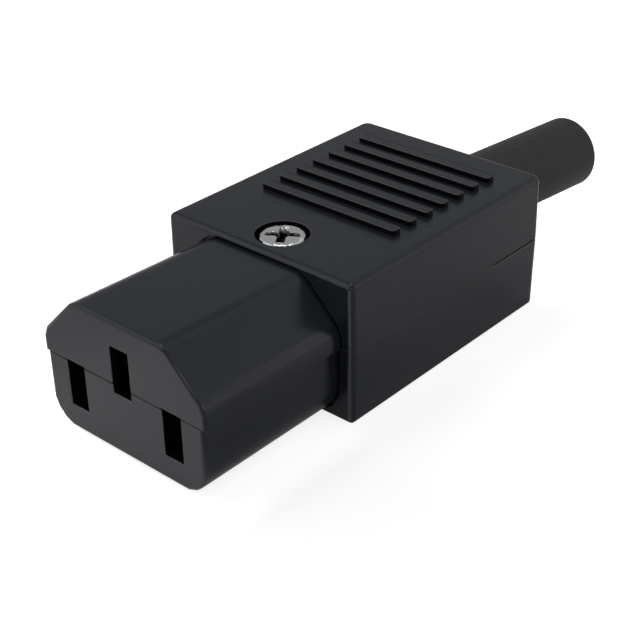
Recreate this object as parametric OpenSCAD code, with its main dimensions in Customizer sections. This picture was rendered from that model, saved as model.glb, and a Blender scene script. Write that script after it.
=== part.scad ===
// Rewireable C13 power connector with a rubber cable boot.
// Millimetres. +Z is up, the nose points to -Y and the cable leaves towards +Y.
// The underside of the body lies on Z = 0, and the origin is below the middle of the length.

/* [Nose] */
// Width of the upper half of the nose
nose_w = 23.5; // [22.5:0.1:24.5]
// How far the lower half of the nose stands back on each side
nose_step = 0.4; // [0.1:0.05:0.5]
// Height of the nose at its front face
nose_h = 15.8; // [15:0.1:16]
// How far the top of the nose falls from the front face to the body
nose_fall = 0.45; // [0.1:0.05:0.7]
// Height of the underside of the nose above the underside of the body
nose_base = 0.55; // [0.3:0.05:0.9]
// Length of the nose in front of the body
nose_len = 19.5; // [18:0.5:22]
// Size of the 45 degree corners beside the top of the nose
nose_chamfer = 5.1; // [4:0.1:5.5]
// Radius of the two bottom corners of the nose
nose_corner_r = 3.4; // [2.5:0.1:4.2]
// Radius that softens the edges of the 45 degree corners
nose_blend_r = 3.2; // [1.5:0.1:3.5]
// Radius round the front face of the nose
nose_front_r = 0.5; // [0.2:0.05:0.8]
// Thickness of the front face of the nose
nose_face = 2; // [1.5:0.1:3]
// Thickness of the side walls behind the contact chambers
nose_wall = 1.8; // [1.2:0.1:2.4]
// Width of the relief groove round the root of the nose
root_gap = 0.25; // [0.1:0.05:0.4]
// Depth of the relief groove into the front of the body
root_depth = 0.6; // [0.3:0.1:0.9]

/* [Contact slots] */
// Distance between the line and neutral slots
pin_pitch = 14; // [13:0.5:15]
// Height of the line and neutral pins above the underside of the body
pin_z = 6.25; // [6:0.05:6.6]
// Height of the earth pin above the line and neutral pins
earth_rise = 4; // [3.5:0.1:4.5]
// Height of the middle of the earth slot above the earth pin
earth_slot_lift = 0.35; // [0:0.05:0.5]
// Width of each slot
slot_w = 2.65; // [2.3:0.05:3]
// Height of each slot
slot_h = 5.5; // [4.6:0.1:5.8]
// Width of the chamber behind each slot
chamber_w = 4.4; // [4.2:0.1:5]
// Depth of the chambers, from the front face of the nose
chamber_len = 16.5; // [15:0.5:17.5]

/* [Body] */
// Width of the body at the parting line
body_w = 26.8; // [26:0.1:30]
// Height of the body
body_h = 16.7; // [16.5:0.1:18]
// Length of the body
body_len = 34.6; // [34:0.1:40]
// How far each side leans in towards the top and the bottom
body_draft = 0.1; // [0.05:0.05:0.3]
// Radius of the top edges and the upright front edges of the body
body_edge_r = 0.8; // [0.4:0.1:1.2]
// Radius of the upright rear edges of the body
rear_edge_r = 1.3; // [0.8:0.1:1.6]
// Radius of the bottom edges of the body
base_edge_r = 0.4; // [0.2:0.1:0.8]
// Height of the upper shell of the body above the parting line
upper_h = 7.8; // [7.5:0.1:8]
// Wall of the shells
wall = 1.8; // [1.4:0.1:2.2]
// Thickness of the rear wall round the boot
rear_wall = 2.2; // [1.8:0.1:2.6]
// Height of the open joint between the shells at the rear corners
joint_gap = 0.22; // [0.1:0.02:0.4]
// Length of the open joint, from the rear face
joint_gap_len = 9.5; // [5:0.5:12]
// Depth of the open joint into the wall
joint_gap_depth = 0.7; // [0.4:0.1:1]

/* [Grip ribs] */
// Number of ribs across the top
rib_count = 7; // [5:1:7]
// Length of each rib
rib_len = 19.2; // [14:0.1:20]
// Thickness of each rib
rib_w = 1.36; // [0.8:0.02:1.8]
// Height of each rib above the body
rib_h = 0.6; // [0.3:0.05:1]
// Distance from one rib to the next
rib_pitch = 2.88; // [2.4:0.02:3]
// Distance from the front of the body to the first rib
rib_first = 11.3; // [10:0.1:12.5]
// Radius of the corners of each rib
rib_corner_r = 0.35; // [0.1:0.05:0.4]

/* [Assembly screw] */
// Radius of the screw thread
screw_r = 1.5; // [1.2:0.05:1.6]
// Radius of the pan head
screw_head_r = 2.6; // [2.4:0.05:2.8]
// Height of the pan head
screw_head_h = 1.9; // [1.6:0.1:2.2]
// Depth of the head below the top of the body
screw_sink = 0.05; // [0:0.05:0.6]
// Distance from the underside of the nut to the tip of the screw
screw_tip_up = 0.25; // [0:0.05:0.6]
// Distance from the front of the body to the screw
screw_back = 4.3; // [4:0.1:5]
// Gap round the head in its recess
recess_gap = 0.42; // [0.2:0.02:0.5]
// Gap round the screw in its boss
screw_gap = 0.2; // [0.1:0.05:0.3]
// Wall of the boss round the screw
boss_wall = 1.6; // [1.2:0.1:1.8]
// Wall of the boss round the nut
nut_wall = 1.3; // [1:0.1:1.4]
// Width of the nut across its flats
nut_af = 5.5; // [5:0.1:6]
// Thickness of the nut
nut_h = 2.4; // [1.8:0.1:2.6]
// Depth of the nut above the underside of the body
nut_sink = 0.5; // [0.3:0.1:0.8]
// Thickness of the boss above the nut
nut_roof = 2; // [1.6:0.1:2.4]

/* [Contacts] */
// Thickness of the contact strip
strip_t = 0.6; // [0.4:0.05:0.7]
// Width of the strip under the contact leaves
strip_w = 3.6; // [3.2:0.1:4]
// Height of the contact leaves
leaf_h = 5.2; // [4.6:0.1:5.4]
// Gap between the leaves where they grip the pin
leaf_grip = 1.7; // [1.2:0.1:1.9]
// Gap between the leaves at their mouth
leaf_mouth = 2.5; // [2.1:0.1:2.6]
// Distance from the inside of the front face to the contact leaves
leaf_back = 2; // [1:0.1:2.4]
// Distance from the mouth of the leaves to where they grip the pin
leaf_pinch_len = 3; // [2:0.1:4]
// Distance from the mouth of the leaves to where they run straight
leaf_free_len = 7; // [6:0.1:8]
// Distance from the end of the leaves to the rear of the chamber
leaf_end_back = 1.5; // [1:0.1:2]
// Gap between a contact and its chamber
contact_gap = 0.1; // [0.05:0.01:0.15]
// Width of the strip at the screw terminal
terminal_w = 6; // [5.6:0.1:6.4]
// Distance from the front of the body to the line and neutral terminals
terminal_back = 10.2; // [10:0.1:11]
// Distance from the line and neutral terminals to the earth terminal
earth_back = 4.6; // [4:0.1:5]
// Gap between the screw boss and the earth strip that goes round it
ring_gap = 0.3; // [0.2:0.05:0.5]
// Width of the earth strip round the screw boss
ring_w = 1.5; // [1.2:0.1:1.6]
// Thickness of the walls between the terminals
barrier_t = 0.8; // [0.6:0.1:1]
// Gap between these walls and the earth terminal
barrier_gap = 0.2; // [0.1:0.05:0.3]

/* [Terminal screws] */
// Radius of the terminal screw thread
terminal_r = 1.5; // [1.2:0.05:1.6]
// Radius of the terminal screw head
terminal_head_r = 2.5; // [2.2:0.05:2.7]
// Height of the terminal screw head
terminal_head_h = 1.8; // [1.4:0.1:2]
// Length of the terminal screw under its head
terminal_len = 3.2; // [2.8:0.1:3.4]
// Side of the square clamp plate under the head
plate_w = 5.4; // [5:0.1:5.8]
// Thickness of the clamp plate
plate_t = 0.8; // [0.6:0.1:1]
// Depth of a screw hole beyond the tip of its screw
hole_spare = 0.3; // [0.2:0.1:0.5]

/* [Cord clamp] */
// Radius of the cord that the clamp and the boot hold
cord_r = 3.5; // [3:0.1:3.6]
// Distance from the rear of the body to the middle of the clamp
clamp_back = 11; // [10.5:0.1:11.5]
// Length of the clamp along the cord
clamp_len = 5.4; // [4.4:0.1:5.6]
// Thickness of the clamp
clamp_t = 1.8; // [1.4:0.1:2]
// Gap between the posts of the clamp screws and the side walls
post_side_gap = 0.85; // [0.5:0.05:1]
// Radius of the clamp screw thread
clamp_screw_r = 1.3; // [1.1:0.05:1.4]
// Radius of the clamp screw head
clamp_head_r = 2.3; // [2:0.05:2.4]
// Height of the clamp screw head
clamp_head_h = 1.6; // [1.2:0.1:1.8]
// Height of the tip of the clamp screw above the floor of the body
clamp_tip_up = 1.3; // [0.8:0.1:2.4]
// Radius of the posts that take the clamp screws
post_r = 2.4; // [2.2:0.05:2.6]
// Height of the posts above the parting line
post_rise = 0.4; // [0.2:0.1:0.6]
// Thickness of the saddle under the cord
saddle_t = 2; // [1.4:0.1:2.4]
// Width of the saddle on each side of the cord
saddle_side = 1.5; // [1:0.1:2]
// Depth of the saddle below the middle of the cord
saddle_drop = 1; // [0.8:0.1:1.6]

/* [Boot] */
// Outer radius of the boot
boot_r = 4.65; // [4.4:0.05:4.8]
// Gap between the cord and the bore of the boot
boot_bore_gap = 0.1; // [0.05:0.01:0.3]
// Length of the boot behind the body
boot_len = 23.9; // [16:0.1:30]
// Angle by which the boot leans to the side
boot_lean = 6.5; // [1:0.5:12]
// Radius of the bend where the boot starts to lean
boot_bend_r = 15; // [12:1:25]
// Straight run of the boot behind the body before it leans
boot_root = 0.3; // [0.2:0.1:1]
// How far the wall of the boot is thinned on each face round the bend
boot_step = 0.04; // [0.02:0.01:0.1]
// Lap of the straight runs over the bend
boot_lap = 0.2; // [0.1:0.05:0.3]
// Radius of the rounded rim at the end of the boot
boot_rim_r = 0.7; // [0.3:0.1:0.8]
// Gap between the flange held in the shells and the top or bottom wall
flange_gap = 0.2; // [0.1:0.05:0.5]
// Thickness of the flange
flange_t = 2; // [1.6:0.1:2.2]
// Length of the boot in front of the flange
boot_tail = 2.6; // [2:0.1:3]
// Thickness of the walls that hold the flange
cradle_t = 1.5; // [1.2:0.1:1.8]
// Gap between the boot and its seat
seat_gap = 0.1; // [0.05:0.01:0.2]
// Radius of the pegs that line up the shells
peg_r = 0.9; // [0.7:0.05:1]
// Height of the pegs
peg_h = 2; // [1.5:0.1:2.5]
// Gap round the pegs
peg_gap = 0.1; // [0.05:0.01:0.15]
// Width of the corner blocks that carry the pegs
block_w = 3.6; // [3.4:0.1:3.8]

/* [Hidden] */
$fn = 64;
// Small lap, overshoot of shapes that are cut to length later, and the length of a cut
// that goes right through
eps = 0.01;
over = 2;
far = 100;
// Step between the planes that carry a rounded edge round a blend or a corner, and how far
// those planes stand clear of it
edge_step = 22.5;
edge_clear = 0.02;

// Pan heads: rounded edge as a share of the height of the head, length and width of the
// cross recess as shares of the radius of the head, and its depth as a share of the height
pan_edge = 0.25;
cross_len = 1.1;
cross_w = 0.3;
cross_depth = 0.55;

housing_colour = "#303236";
boot_colour = "#35373a";
brass_colour = "#c9a44c";
zinc_colour = "#c4c8cc";

rear_y = nose_len + body_len;
nose_top = nose_base + nose_h;
nose_shoulder = nose_top - nose_chamfer;
lower_nose_w = nose_w - 2 * nose_step;
// The parting line of the body runs on round the nose
parting_z = body_h - upper_h;

// Screws and terminals
screw_y = nose_len + screw_back;
head_z = body_h - screw_sink;
seat_z = head_z - screw_head_h;
screw_len = seat_z - nut_sink - screw_tip_up;
recess_r = screw_head_r + recess_gap;
boss_r = screw_r + screw_gap + boss_wall;
nut_top = nut_sink + nut_h;
nut_r = nut_af / 2 / cos(30);
nut_pocket_r = (nut_af / 2 + screw_gap) / cos(30);
nut_boss_top = nut_top + nut_roof;
line_x = pin_pitch / 2;
line_y = nose_len + terminal_back;
earth_y = line_y + earth_back;
earth_z = pin_z + earth_rise;

// The middle of the leaves lies on the pin, and the strip is under it
line_strip_z = pin_z - leaf_h / 2 - strip_t / 2;
earth_strip_z = earth_z - leaf_h / 2 - strip_t / 2;
leaf_front = nose_face + leaf_back;
leaf_root = chamber_len - leaf_end_back;
leaf_pinch = leaf_front + leaf_pinch_len;
leaf_straight = leaf_front + leaf_free_len;
ring_in = boss_r + ring_gap;
ring_out = ring_in + ring_w;

// Cavity
cavity_w = body_w - 2 * body_draft - 2 * wall;
cavity_front = nose_len + wall;
cavity_rear = rear_y - rear_wall;
cavity_top = body_h - wall;

// Cord, boot and clamp share one centre line on the parting plane
cord_z = parting_z;
clamp_y = rear_y - clamp_back;
clamp_pitch = cavity_w - 2 * (post_side_gap + post_r);
clamp_seat_z = parting_z + post_rise;
clamp_top = clamp_seat_z + clamp_t;
clamp_screw_len = clamp_top - wall - clamp_tip_up;
flange_r = min(cavity_top - cord_z, cord_z - wall) - flange_gap;
flange_rear = cavity_rear - seat_gap;
flange_front = flange_rear - flange_t;
cradle_rear = flange_front - seat_gap;
boot_front = flange_front - boot_tail;
boot_bore_r = cord_r + boot_bore_gap;
boot_arc = boot_bend_r * boot_lean * PI / 180;
boot_straight = boot_len - boot_root - boot_arc;
boot_end_y = rear_y + boot_root + boot_bend_r * sin(boot_lean) + boot_straight * cos(boot_lean);
length = boot_end_y + (boot_r - boot_rim_r) * sin(boot_lean) + boot_rim_r * (1 - cos(boot_lean));
peg_x = cavity_w / 2 - block_w / 2;
peg_y = (cradle_rear - cradle_t + cavity_rear) / 2;

// Moves the connector so that the middle of its length is over the origin
module placed() {
    translate([0, -length / 2, 0])
        children();
}

// Extrudes an outline drawn in X and Z along +Y
module along_y(len) {
    translate([0, len, 0])
        rotate([90, 0, 0])
            linear_extrude(len)
                children();
}

// Extrudes an outline drawn in Y and Z along X, on both sides of the middle
module along_x(len) {
    rotate([90, 0, 90])
        linear_extrude(len, center = true)
            children();
}

// A box from one corner to the opposite one
module span(from, to) {
    translate(from)
        cube(to - from);
}

// Everything above or below the parting plane
module upper_half() {
    span([-far, -far, parting_z], [far, far, far]);
}

module lower_half() {
    span([-far, -far, -far], [far, far, parting_z]);
}

// A rectangle with rounded corners, centred
module round_rect(size, r) {
    square([size.x - 2 * r, size.y], center = true);
    square([size.x, size.y - 2 * r], center = true);
    for (sx = [-1, 1], sy = [-1, 1])
        translate([sx * (size.x / 2 - r), sy * (size.y / 2 - r)])
            circle(r);
}

// ---- Outer forms ----

// Both sides of a list of points that is written for the right side only
function both(points) = concat(points, [for (p = points) [-p.x, p.y]]);

// How far an outline with blends of radius r round these centres reaches in one direction
function reach(centres, r, angle) = max([for (c = centres) c * [cos(angle), sin(angle)]]) + r;

// Half-space below a plane that faces sideways at this angle, with the front edge rounded
module front_edge(angle, distance) {
    r = nose_front_r;
    rotate([0, -angle, 0])
        linear_extrude(far, center = true) {
            translate([-far, r])
                square([far + distance, nose_len + over]);
            translate([-far, 0])
                square([far + distance - r, nose_len + over]);
            translate([distance - r, r])
                circle(r);
        }
}

// Front edges of a nose half, from one direction to another. The planes face the flats of the
// outline at every second step, and in between they stand just clear of the blends
module front_edges(centres, r, first) {
    intersection_for (i = [0:8]) {
        angle = first + i * edge_step;
        front_edge(angle, reach(centres, r, angle) + (i % 2) * edge_clear);
    }
}

// Outline of the upper half of the nose, with 45 degree corners, grown by a gap all round
module upper_nose_outline(gap = 0) {
    w = nose_w / 2 + gap;
    top = nose_top + gap;
    r = nose_blend_r + gap;
    shoulder = nose_shoulder + gap * tan(22.5);
    flat = nose_w / 2 - nose_chamfer + gap * tan(22.5);
    t = r * tan(22.5);
    d = t * cos(45);
    right = [[w, 0], [w, shoulder - t], [w - d, shoulder + d], [flat + d, top - d], [flat - t, top]];
    left = [for (i = [len(right) - 1:-1:0]) [-right[i].x, right[i].y]];
    polygon(concat(right, left));
    for (s = [-1, 1]) {
        translate([s * (w - r), shoulder - t])
            circle(r);
        translate([s * (flat - t), top - r])
            circle(r);
    }
}

// Turns the top of the nose so that it falls towards the body
module falling() {
    translate([0, 0, nose_top])
        rotate([-atan(nose_fall / nose_len), 0, 0])
            translate([0, 0, -nose_top])
                children();
}

module upper_nose() {
    t = nose_blend_r * tan(22.5);
    centres = both([[nose_w / 2 - nose_blend_r, nose_shoulder - t],
        [nose_w / 2 - nose_chamfer - t, nose_top - nose_blend_r]]);
    intersection() {
        falling()
            translate([0, -over, 0])
                along_y(nose_len + 2 * over)
                    upper_nose_outline();
        front_edges(centres, nose_blend_r, 0);
        span([-far, 0, parting_z], [far, nose_len + 1, far]);
    }
}

// Outline of the lower half of the nose, with rounded bottom corners, grown by a gap all round
module lower_nose_outline(gap = 0) {
    w = lower_nose_w / 2 + gap;
    low = nose_base - gap;
    r = nose_corner_r + gap;
    translate([-w, low + r])
        square([2 * w, parting_z + gap - low - r]);
    translate([r - w, low])
        square([2 * (w - r), parting_z + gap - low]);
    for (s = [-1, 1])
        translate([s * (w - r), low + r])
            circle(r);
}

module lower_nose() {
    centres = both([[lower_nose_w / 2 - nose_corner_r, nose_base + nose_corner_r]]);
    intersection() {
        along_y(nose_len + 1)
            lower_nose_outline();
        front_edges(centres, nose_corner_r, -180);
    }
}

// Outline of the body from the front: sides drafted both ways from the parting line
module body_front_outline() {
    wide = body_w / 2;
    narrow = wide - body_draft;
    top = body_edge_r;
    low = base_edge_r;
    right = [[narrow - low, 0], [narrow, low], [wide, parting_z],
        [narrow, body_h - top], [narrow - top, body_h]];
    left = [for (i = [len(right) - 1:-1:0]) [-right[i].x, right[i].y]];
    polygon(concat(right, left));
    for (s = [-1, 1]) {
        translate([s * (narrow - low), low])
            circle(low);
        translate([s * (narrow - top), body_h - top])
            circle(top);
    }
}

// Outline of the body from the side
module body_side_outline() {
    top = body_edge_r;
    low = base_edge_r;
    translate([nose_len, low])
        square([body_len, body_h - top - low]);
    translate([nose_len + low, 0])
        square([body_len - 2 * low, low + eps]);
    translate([nose_len + top, body_h - top - eps])
        square([body_len - 2 * top, top + eps]);
    for (y = [nose_len + low, rear_y - low])
        translate([y, low])
            circle(low);
    for (y = [nose_len + top, rear_y - top])
        translate([y, body_h - top])
            circle(top);
}

// Outline of the body from above, with the rounded corners of its right side only
module right_plan() {
    front = body_edge_r;
    rear = rear_edge_r;
    wide = body_w / 2;
    translate([-far, nose_len])
        square([far + wide - max(front, rear), body_len]);
    translate([0, nose_len])
        square([wide - front, body_len / 2]);
    translate([0, nose_len + body_len / 2])
        square([wide - rear, body_len / 2]);
    translate([0, nose_len + front])
        square([wide, body_len - front - rear]);
    translate([wide - front, nose_len + front])
        circle(front);
    translate([wide - rear, rear_y - rear])
        circle(rear);
}

// The right side and its upright edges, leaning in upwards (1) or downwards (-1) from the
// parting line
module right_side(lean) {
    leaning_h = lean > 0 ? upper_h - body_edge_r : parting_z - base_edge_r;
    translate([body_w / 2, 0, parting_z])
        rotate([0, -lean * atan(body_draft / leaning_h), 0])
            translate([-body_w / 2, 0, -far / 2])
                linear_extrude(far)
                    right_plan();
}

// Everything inside an upright plane that faces this way, with the top edge rounded. Under the
// rounding it stands clear of the edges that lean out.
module top_edge(angle, distance) {
    r = body_edge_r;
    rotate([90, 0, angle])
        linear_extrude(2 * far, center = true) {
            translate([-far, -over])
                square([far + distance + body_draft, body_h + over - r]);
            translate([-far, -over])
                square([far + distance - r, body_h + over]);
            translate([distance - r, body_h - r])
                circle(r);
        }
}

// Carries the rounding of the top edge round the two upright edges of radius r at the front (-1)
// or the rear (1), by planes that stand just clear of them
module top_corners(r, side) {
    centres = both([[body_w / 2 - body_draft - r, nose_len + body_len / 2 + side * (body_len / 2 - r)]]);
    intersection_for (i = [1, 2, 3, 5, 6, 7]) {
        angle = side * i * edge_step;
        top_edge(angle, reach(centres, r, angle) + edge_clear);
    }
}

module body_block(lean) {
    intersection() {
        translate([0, nose_len - 1, 0])
            along_y(body_len + 2)
                body_front_outline();
        along_x(body_w + 2)
            body_side_outline();
        right_side(lean);
        mirror([1, 0, 0])
            right_side(lean);
        top_corners(body_edge_r, -1);
        top_corners(rear_edge_r, 1);
    }
}

// ---- Hollows shared by the two shells ----

// Slot in the front face and the chamber behind it for one contact
module contact_chamber(x, strip_z, slot_z) {
    low = strip_z - contact_gap;
    high = strip_z + strip_t + leaf_h + contact_gap;
    span([x - slot_w / 2, -1, slot_z - slot_h / 2], [x + slot_w / 2, nose_face + 1, slot_z + slot_h / 2]);
    span([x - chamber_w / 2, nose_face, low], [x + chamber_w / 2, chamber_len + 1, high]);
}

module hollows() {
    for (s = [-1, 1])
        contact_chamber(s * line_x, line_strip_z, pin_z);
    contact_chamber(0, earth_strip_z, earth_z + earth_slot_lift);
    // Space behind the chambers, inside the nose
    room = lower_nose_w / 2 - nose_wall;
    span([-room, chamber_len, nose_base + nose_wall], [room, cavity_front + 1, nose_shoulder]);
    // Space inside the body
    span([-cavity_w / 2, cavity_front, wall], [cavity_w / 2, cavity_rear, cavity_top]);
    // Hole for the boot in the rear wall
    translate([0, rear_y + 1, cord_z])
        rotate([90, 0, 0])
            cylinder(r = boot_r + seat_gap, h = rear_wall + 2);
}

// Wall across the cavity that holds the flange of the boot, with its corner blocks
module cradle() {
    front = cradle_rear - cradle_t;
    high = cavity_top - wall;
    difference() {
        union() {
            span([-cavity_w / 2 - eps, front, wall - eps],
                [cavity_w / 2 + eps, cradle_rear, cavity_top + eps]);
            for (s = [-1, 1])
                translate([s * peg_x, (front + cavity_rear) / 2, wall + high / 2])
                    cube([block_w, cavity_rear - front + 2 * eps, high + 2 * eps], center = true);
        }
        translate([0, cradle_rear + 1, cord_z])
            rotate([90, 0, 0])
                cylinder(r = boot_r + seat_gap, h = cradle_t + 2);
    }
}

// ---- Shells ----

module grip_ribs() {
    for (i = [0:rib_count - 1])
        translate([0, nose_len + rib_first + rib_w / 2 + i * rib_pitch, body_h - eps])
            linear_extrude(rib_h + eps)
                round_rect([rib_len, rib_w], rib_corner_r);
}

module upper_shell() {
    color(housing_colour) placed() difference() {
        union() {
            difference() {
                union() {
                    difference() {
                        intersection() {
                            body_block(1);
                            upper_half();
                        }
                        // Relief groove, which the nose then fills but for its gap
                        falling()
                            along_y(nose_len + root_depth)
                                upper_nose_outline(root_gap);
                    }
                    upper_nose();
                }
                hollows();
            }
            intersection() {
                cradle();
                upper_half();
            }
            grip_ribs();
            // Cup for the screw head and the boss below it
            translate([0, screw_y, seat_z - wall])
                cylinder(r = recess_r + boss_wall, h = cavity_top - seat_z + wall + eps);
            translate([0, screw_y, parting_z])
                cylinder(r = boss_r, h = seat_z - parting_z);
            // Pegs for the lower shell
            for (s = [-1, 1])
                translate([s * peg_x, peg_y, parting_z - peg_h])
                    cylinder(r = peg_r, h = peg_h + eps);
        }
        translate([0, screw_y, seat_z])
            cylinder(r = recess_r, h = far);
        translate([0, screw_y, parting_z - 1])
            cylinder(r = screw_r + screw_gap, h = far);
    }
}

// Post on the floor of the lower shell with a hole down its middle
module post(x, y, top, r, hole_r, hole_z) {
    translate([x, y, wall - eps])
        difference() {
            cylinder(r = r, h = top - wall + eps);
            translate([0, 0, hole_z - wall])
                cylinder(r = hole_r, h = far);
        }
}

// Block under the end of a contact strip
module strip_seat(x, y, strip_z) {
    span([x - terminal_w / 2, y - terminal_w / 2, wall - eps],
        [x + terminal_w / 2, y + terminal_w / 2, strip_z]);
}

// Walls between the terminals
module barriers() {
    for (s = [-1, 1])
        translate([s * (terminal_w / 2 + barrier_gap + barrier_t / 2), earth_y, (wall + parting_z) / 2])
            cube([barrier_t, terminal_w, parting_z - wall + 2 * eps], center = true);
}

// Open joint along both sides at the rear corners
module open_joint() {
    for (s = [-1, 1])
        translate([s * (body_w / 2 - joint_gap_depth + far / 2), rear_y - joint_gap_len + far / 2,
            parting_z - joint_gap / 2 + eps])
            cube([far, far, joint_gap], center = true);
}

// Rib across the floor with a round saddle under the cord
module cord_saddle() {
    side = cord_r + saddle_side;
    difference() {
        span([-side, clamp_y - saddle_t / 2, wall - eps],
            [side, clamp_y + saddle_t / 2, cord_z - saddle_drop]);
        translate([0, clamp_y, cord_z])
            rotate([90, 0, 0])
                cylinder(r = cord_r, h = saddle_t + 1, center = true);
    }
}

module lower_shell() {
    color(housing_colour) placed() difference() {
        union() {
            difference() {
                union() {
                    difference() {
                        intersection() {
                            body_block(-1);
                            lower_half();
                        }
                        along_y(nose_len + root_depth)
                            lower_nose_outline(root_gap);
                    }
                    lower_nose();
                }
                hollows();
                open_joint();
            }
            intersection() {
                cradle();
                lower_half();
            }
            // Boss for the nut, and the boss that meets the upper one
            translate([0, screw_y, wall - eps])
                cylinder(r = nut_pocket_r + nut_wall, h = nut_boss_top - wall + eps);
            translate([0, screw_y, wall])
                cylinder(r = boss_r, h = parting_z - wall);
            for (s = [-1, 1]) {
                strip_seat(s * line_x, line_y, line_strip_z);
                post(s * clamp_pitch / 2, clamp_y, clamp_seat_z, post_r, clamp_screw_r,
                    clamp_top - clamp_screw_len - hole_spare);
            }
            strip_seat(0, earth_y, earth_strip_z);
            barriers();
            cord_saddle();
        }
        translate([0, screw_y, nut_sink])
            cylinder(r = screw_r + screw_gap, h = far);
        translate([0, screw_y, -1])
            rotate([0, 0, 30])
                cylinder(r = nut_pocket_r, h = nut_top + 1, $fn = 6);
        for (s = [-1, 1]) {
            terminal_hole(s * line_x, line_y, line_strip_z);
            translate([s * peg_x, peg_y, parting_z - peg_h - hole_spare])
                cylinder(r = peg_r + peg_gap, h = far);
        }
        terminal_hole(0, earth_y, earth_strip_z);
    }
}

// Hole in the lower shell for the end of a terminal screw
module terminal_hole(x, y, strip_z) {
    low = strip_z + strip_t + plate_t - terminal_len - hole_spare;
    translate([x, y, low])
        cylinder(r = terminal_r + screw_gap, h = strip_z - low + 1);
}

// ---- Fasteners ----

// Pan head screw standing head up, with the underside of its head at Z = 0
module pan_screw(r, head_r, head_h, len) {
    edge = head_h * pan_edge;
    difference() {
        union() {
            rotate_extrude()
                intersection() {
                    translate([0, -eps])
                        square([head_r, head_h + eps]);
                    union() {
                        square([head_r, head_h - edge]);
                        square([head_r - edge, head_h]);
                        translate([head_r - edge, head_h - edge])
                            circle(edge);
                    }
                }
            translate([0, 0, -len])
                cylinder(r = r, h = len + eps);
        }
        for (a = [0, 90])
            rotate([0, 0, a])
                translate([0, 0, head_h])
                    cube([head_r * cross_len, head_r * cross_w, head_h * cross_depth * 2], center = true);
    }
}

module assembly_screw() {
    color(zinc_colour) placed()
        translate([0, screw_y, seat_z])
            pan_screw(screw_r, screw_head_r, screw_head_h, screw_len);
}

module assembly_nut() {
    color(zinc_colour) placed()
        translate([0, screw_y, nut_sink])
            difference() {
                rotate([0, 0, 30])
                    cylinder(r = nut_r, h = nut_h, $fn = 6);
                translate([0, 0, -1])
                    cylinder(r = screw_r, h = nut_h + 2);
            }
}

module terminal_screw(x, y, strip_z) {
    color(zinc_colour) placed()
        translate([x, y, strip_z + strip_t + plate_t])
            pan_screw(terminal_r, terminal_head_r, terminal_head_h, terminal_len);
}

module line_terminal_screw() {
    terminal_screw(line_x, line_y, line_strip_z);
}

module neutral_terminal_screw() {
    terminal_screw(-line_x, line_y, line_strip_z);
}

module earth_terminal_screw() {
    terminal_screw(0, earth_y, earth_strip_z);
}

// Square plate that a terminal screw presses on the wire
module clamp_plate(x, y, strip_z) {
    color(zinc_colour) placed()
        translate([x, y, strip_z + strip_t])
            difference() {
                translate([0, 0, plate_t / 2])
                    cube([plate_w, plate_w, plate_t], center = true);
                translate([0, 0, -1])
                    cylinder(r = terminal_r + screw_gap / 2, h = plate_t + 2);
            }
}

module line_clamp_plate() {
    clamp_plate(line_x, line_y, line_strip_z);
}

module neutral_clamp_plate() {
    clamp_plate(-line_x, line_y, line_strip_z);
}

module earth_clamp_plate() {
    clamp_plate(0, earth_y, earth_strip_z);
}

module cord_clamp_screw(x) {
    color(zinc_colour) placed()
        translate([x, clamp_y, clamp_top])
            pan_screw(clamp_screw_r, clamp_head_r, clamp_head_h, clamp_screw_len);
}

module cord_clamp_screw_left() {
    cord_clamp_screw(-clamp_pitch / 2);
}

module cord_clamp_screw_right() {
    cord_clamp_screw(clamp_pitch / 2);
}

// Arched bar over the cord, with a wing and a hole at each side
module cord_clamp() {
    wing = clamp_pitch / 2 + post_r;
    color(housing_colour) placed()
        translate([0, clamp_y, 0])
            difference() {
                translate([0, -clamp_len / 2, 0])
                    along_y(clamp_len)
                        difference() {
                            union() {
                                translate([-wing, clamp_seat_z])
                                    square([2 * wing, clamp_t]);
                                intersection() {
                                    translate([0, cord_z])
                                        circle(cord_r + clamp_t);
                                    translate([-wing, clamp_seat_z])
                                        square([2 * wing, far]);
                                }
                            }
                            translate([0, cord_z])
                                circle(cord_r);
                        }
                for (s = [-1, 1])
                    translate([s * clamp_pitch / 2, 0, 0])
                        cylinder(r = clamp_screw_r + screw_gap, h = far);
            }
}

// ---- Contacts ----

// Directions of the two stretches that meet at point i of a line
function unit(v) = v / norm(v);
function stretch(points, i) = unit(points[min(i + 1, len(points) - 1)] - points[min(i, len(points) - 2)]);
function before(points, i) = i == 0 ? stretch(points, 0) : stretch(points, i - 1);

// Sideways step at point i that keeps the width of the line round its bend
function mitre(points, i) =
    let (a = before(points, i), b = stretch(points, i), across = [-a.y - b.y, a.x + b.x])
    across / (1 + a * b);

// Flat line of constant width through a list of points
module bent_strip(points, width) {
    last = len(points) - 1;
    polygon(concat(
        [for (i = [0:last]) points[i] + mitre(points, i) * width / 2],
        [for (i = [last:-1:0]) points[i] - mitre(points, i) * width / 2]));
}

// Two spring leaves that stand on the strip, seen from above
module leaves() {
    half = strip_t / 2;
    root_x = (strip_w - strip_t) / 2;
    for (s = [-1, 1])
        bent_strip([[s * root_x, leaf_root], [s * root_x, leaf_straight],
            [s * (leaf_grip / 2 + half), leaf_pinch], [s * (leaf_mouth / 2 + half), leaf_front]], strip_t);
}

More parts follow.
